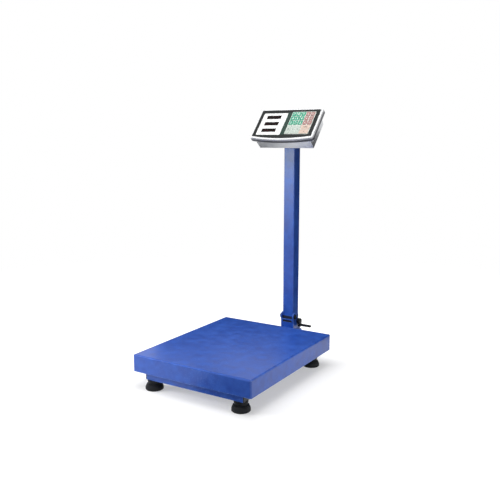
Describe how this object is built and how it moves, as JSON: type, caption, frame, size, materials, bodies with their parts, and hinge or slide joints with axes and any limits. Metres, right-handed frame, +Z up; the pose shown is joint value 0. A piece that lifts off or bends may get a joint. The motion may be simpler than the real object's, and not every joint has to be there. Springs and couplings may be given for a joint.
{
  "type": "folding platform scale",
  "caption": "Blue platform scale with a lift-off pan on levelling feet, a folding square column and a tilting indicator head with displays and keypad.",
  "frame": {"origin": "on the floor, under the middle of the overall width and depth", "axes": "+X to the operator's right, +Y away from the operator towards the column, +Z up"},
  "size_m": [0.5, 0.77, 1.0173],
  "materials": {
    "blue_paint": "gloss royal blue paint with a fine texture",
    "black_plastic": "fine-grained black moulding",
    "foot_rubber": "matt black moulded rubber",
    "cable_jacket": "black cable jacket",
    "zinc_steel": "zinc-plated steel",
    "black_steel": "blackened steel",
    "cell_aluminium": "machined aluminium",
    "black_casting": "black painted casting",
    "silver_shell": "silver painted moulding",
    "panel_black": "printed black panel",
    "smoked_lens": "dark smoked lens",
    "display_dark": "dark display block",
    "mat_silicone": "silicone mat",
    "board_green": "green circuit board",
    "battery_case": "dark battery case",
    "rocker_black": "black rocker",
    "key_green": "green rubber key",
    "key_pale": "pale rubber key",
    "key_pink": "pink rubber key",
    "key_cream": "cream rubber key"
  },
  "bodies": {
    "base": {"base_frame": "blue_paint", "frame_plugs": "black_plastic", "foot_lock_nuts": "zinc_steel", "load_cell": "cell_aluminium", "cell_spacers": "zinc_steel", "cell_bolts": "zinc_steel", "cell_cable": "cable_jacket", "top_frame": "blue_paint", "pan_pads": "foot_rubber", "overload_stops": "zinc_steel", "hinge_bracket": "blue_paint", "bracket_bolts": "zinc_steel", "pivot_pin": "black_steel", "hinge_nuts": "black_steel"},
    "pan": {"platform_pan": "blue_paint"},
    "foot_fl": {"foot_front_left": "foot_rubber"},
    "foot_fr": {"foot_front_right": "foot_rubber"},
    "foot_rl": {"foot_rear_left": "foot_rubber"},
    "foot_rr": {"foot_rear_right": "foot_rubber"},
    "column": {"column_tube": "blue_paint", "column_foot": "black_casting", "column_cap": "black_casting", "column_screws": "zinc_steel", "tilt_bolt": "zinc_steel"},
    "crank": {"clamp_bolt": "black_steel", "crank_arm": "black_plastic", "crank_grip": "black_plastic"},
    "head": {"front_bezel": "silver_shell", "rear_shell": "silver_shell", "face_panel": "panel_black", "display_windows": "smoked_lens", "display_modules": "display_dark", "keypad_mat": "mat_silicone", "main_board": "board_green", "battery": "battery_case", "head_screws": "zinc_steel", "head_bracket": "black_casting", "power_inlet": "black_plastic"},
    "knob": {"tilt_knob": "black_plastic"},
    "rocker": {"power_rocker": "rocker_black"},
    "key_7": {"key_7": "key_green"},
    "key_8": {"key_8": "key_green"},
    "key_9": {"key_9": "key_green"},
    "key_4": {"key_4": "key_green"},
    "key_5": {"key_5": "key_green"},
    "key_6": {"key_6": "key_green"},
    "key_1": {"key_1": "key_green"},
    "key_2": {"key_2": "key_green"},
    "key_3": {"key_3": "key_green"},
    "key_0": {"key_0": "key_pale"},
    "key_dot": {"key_dot": "key_pale"},
    "key_clear": {"key_clear": "key_pale"},
    "key_m1": {"key_m1": "key_pink"},
    "key_m2": {"key_m2": "key_pink"},
    "key_m3": {"key_m3": "key_pink"},
    "key_m4": {"key_m4": "key_pink"},
    "key_m5": {"key_m5": "key_pink"},
    "key_m6": {"key_m6": "key_pink"},
    "key_tare": {"key_tare": "key_cream"},
    "key_total": {"key_total": "key_cream"}
  },
  "joints": [
    {"name": "pan_lift", "type": "slide", "parent": "base", "child": "pan", "axis": [0, 0, 1], "range_m": [0, 0.08]},
    {"name": "foot_fl_turn", "type": "hinge", "parent": "base", "child": "foot_fl", "pos_m": [-0.186, -0.345, 0.02], "axis": [0, 0, 1], "continuous": true},
    {"name": "foot_fr_turn", "type": "hinge", "parent": "base", "child": "foot_fr", "pos_m": [0.186, -0.345, 0.02], "axis": [0, 0, 1], "continuous": true},
    {"name": "foot_rl_turn", "type": "hinge", "parent": "base", "child": "foot_rl", "pos_m": [-0.186, 0.175, 0.02], "axis": [0, 0, 1], "continuous": true},
    {"name": "foot_rr_turn", "type": "hinge", "parent": "base", "child": "foot_rr", "pos_m": [0.186, 0.175, 0.02], "axis": [0, 0, 1], "continuous": true},
    {"name": "column_fold", "type": "hinge", "parent": "base", "child": "column", "pos_m": [0, 0.329, 0.141], "axis": [-1, 0, 0], "range_deg": [-90, 0]},
    {"name": "crank_turn", "type": "hinge", "parent": "base", "child": "crank", "pos_m": [0, 0.354, 0.12], "axis": [1, 0, 0], "range_deg": [0, 180]},
    {"name": "head_tilt", "type": "hinge", "parent": "column", "child": "head", "pos_m": [0, 0.346, 0.89], "axis": [1, 0, 0], "range_deg": [-25, 20]},
    {"name": "knob_turn", "type": "hinge", "parent": "column", "child": "knob", "pos_m": [0.026, 0.346, 0.89], "axis": [1, 0, 0], "continuous": true},
    {"name": "rocker_tip", "type": "hinge", "parent": "head", "child": "rocker", "pos_m": [0.086, 0.3505, 0.92074], "axis": [1, 0, 0], "range_deg": [-18, 0]},
    {"name": "key_7_press", "type": "slide", "parent": "head", "child": "key_7", "axis": [0, 0.749, -0.6626], "range_m": [0, 0.0012], "stiffness_N_per_m": 800, "springref_m": -0.0005},
    {"name": "key_8_press", "type": "slide", "parent": "head", "child": "key_8", "axis": [0, 0.749, -0.6626], "range_m": [0, 0.0012], "stiffness_N_per_m": 800, "springref_m": -0.0005},
    {"name": "key_9_press", "type": "slide", "parent": "head", "child": "key_9", "axis": [0, 0.749, -0.6626], "range_m": [0, 0.0012], "stiffness_N_per_m": 800, "springref_m": -0.0005},
    {"name": "key_4_press", "type": "slide", "parent": "head", "child": "key_4", "axis": [0, 0.749, -0.6626], "range_m": [0, 0.0012], "stiffness_N_per_m": 800, "springref_m": -0.0005},
    {"name": "key_5_press", "type": "slide", "parent": "head", "child": "key_5", "axis": [0, 0.749, -0.6626], "range_m": [0, 0.0012], "stiffness_N_per_m": 800, "springref_m": -0.0005},
    {"name": "key_6_press", "type": "slide", "parent": "head", "child": "key_6", "axis": [0, 0.749, -0.6626], "range_m": [0, 0.0012], "stiffness_N_per_m": 800, "springref_m": -0.0005},
    {"name": "key_1_press", "type": "slide", "parent": "head", "child": "key_1", "axis": [0, 0.749, -0.6626], "range_m": [0, 0.0012], "stiffness_N_per_m": 800, "springref_m": -0.0005},
    {"name": "key_2_press", "type": "slide", "parent": "head", "child": "key_2", "axis": [0, 0.749, -0.6626], "range_m": [0, 0.0012], "stiffness_N_per_m": 800, "springref_m": -0.0005},
    {"name": "key_3_press", "type": "slide", "parent": "head", "child": "key_3", "axis": [0, 0.749, -0.6626], "range_m": [0, 0.0012], "stiffness_N_per_m": 800, "springref_m": -0.0005},
    {"name": "key_0_press", "type": "slide", "parent": "head", "child": "key_0", "axis": [0, 0.749, -0.6626], "range_m": [0, 0.0012], "stiffness_N_per_m": 800, "springref_m": -0.0005},
    {"name": "key_dot_press", "type": "slide", "parent": "head", "child": "key_dot", "axis": [0, 0.749, -0.6626], "range_m": [0, 0.0012], "stiffness_N_per_m": 800, "springref_m": -0.0005},
    {"name": "key_clear_press", "type": "slide", "parent": "head", "child": "key_clear", "axis": [0, 0.749, -0.6626], "range_m": [0, 0.0012], "stiffness_N_per_m": 800, "springref_m": -0.0005},
    {"name": "key_m1_press", "type": "slide", "parent": "head", "child": "key_m1", "axis": [0, 0.749, -0.6626], "range_m": [0, 0.0012], "stiffness_N_per_m": 800, "springref_m": -0.0005},
    {"name": "key_m2_press", "type": "slide", "parent": "head", "child": "key_m2", "axis": [0, 0.749, -0.6626], "range_m": [0, 0.0012], "stiffness_N_per_m": 800, "springref_m": -0.0005},
    {"name": "key_m3_press", "type": "slide", "parent": "head", "child": "key_m3", "axis": [0, 0.749, -0.6626], "range_m": [0, 0.0012], "stiffness_N_per_m": 800, "springref_m": -0.0005},
    {"name": "key_m4_press", "type": "slide", "parent": "head", "child": "key_m4", "axis": [0, 0.749, -0.6626], "range_m": [0, 0.0012], "stiffness_N_per_m": 800, "springref_m": -0.0005},
    {"name": "key_m5_press", "type": "slide", "parent": "head", "child": "key_m5", "axis": [0, 0.749, -0.6626], "range_m": [0, 0.0012], "stiffness_N_per_m": 800, "springref_m": -0.0005},
    {"name": "key_m6_press", "type": "slide", "parent": "head", "child": "key_m6", "axis": [0, 0.749, -0.6626], "range_m": [0, 0.0012], "stiffness_N_per_m": 800, "springref_m": -0.0005},
    {"name": "key_tare_press", "type": "slide", "parent": "head", "child": "key_tare", "axis": [0, 0.749, -0.6626], "range_m": [0, 0.0012], "stiffness_N_per_m": 800, "springref_m": -0.0005},
    {"name": "key_total_press", "type": "slide", "parent": "head", "child": "key_total", "axis": [0, 0.749, -0.6626], "range_m": [0, 0.0012], "stiffness_N_per_m": 800, "springref_m": -0.0005}
  ]
}
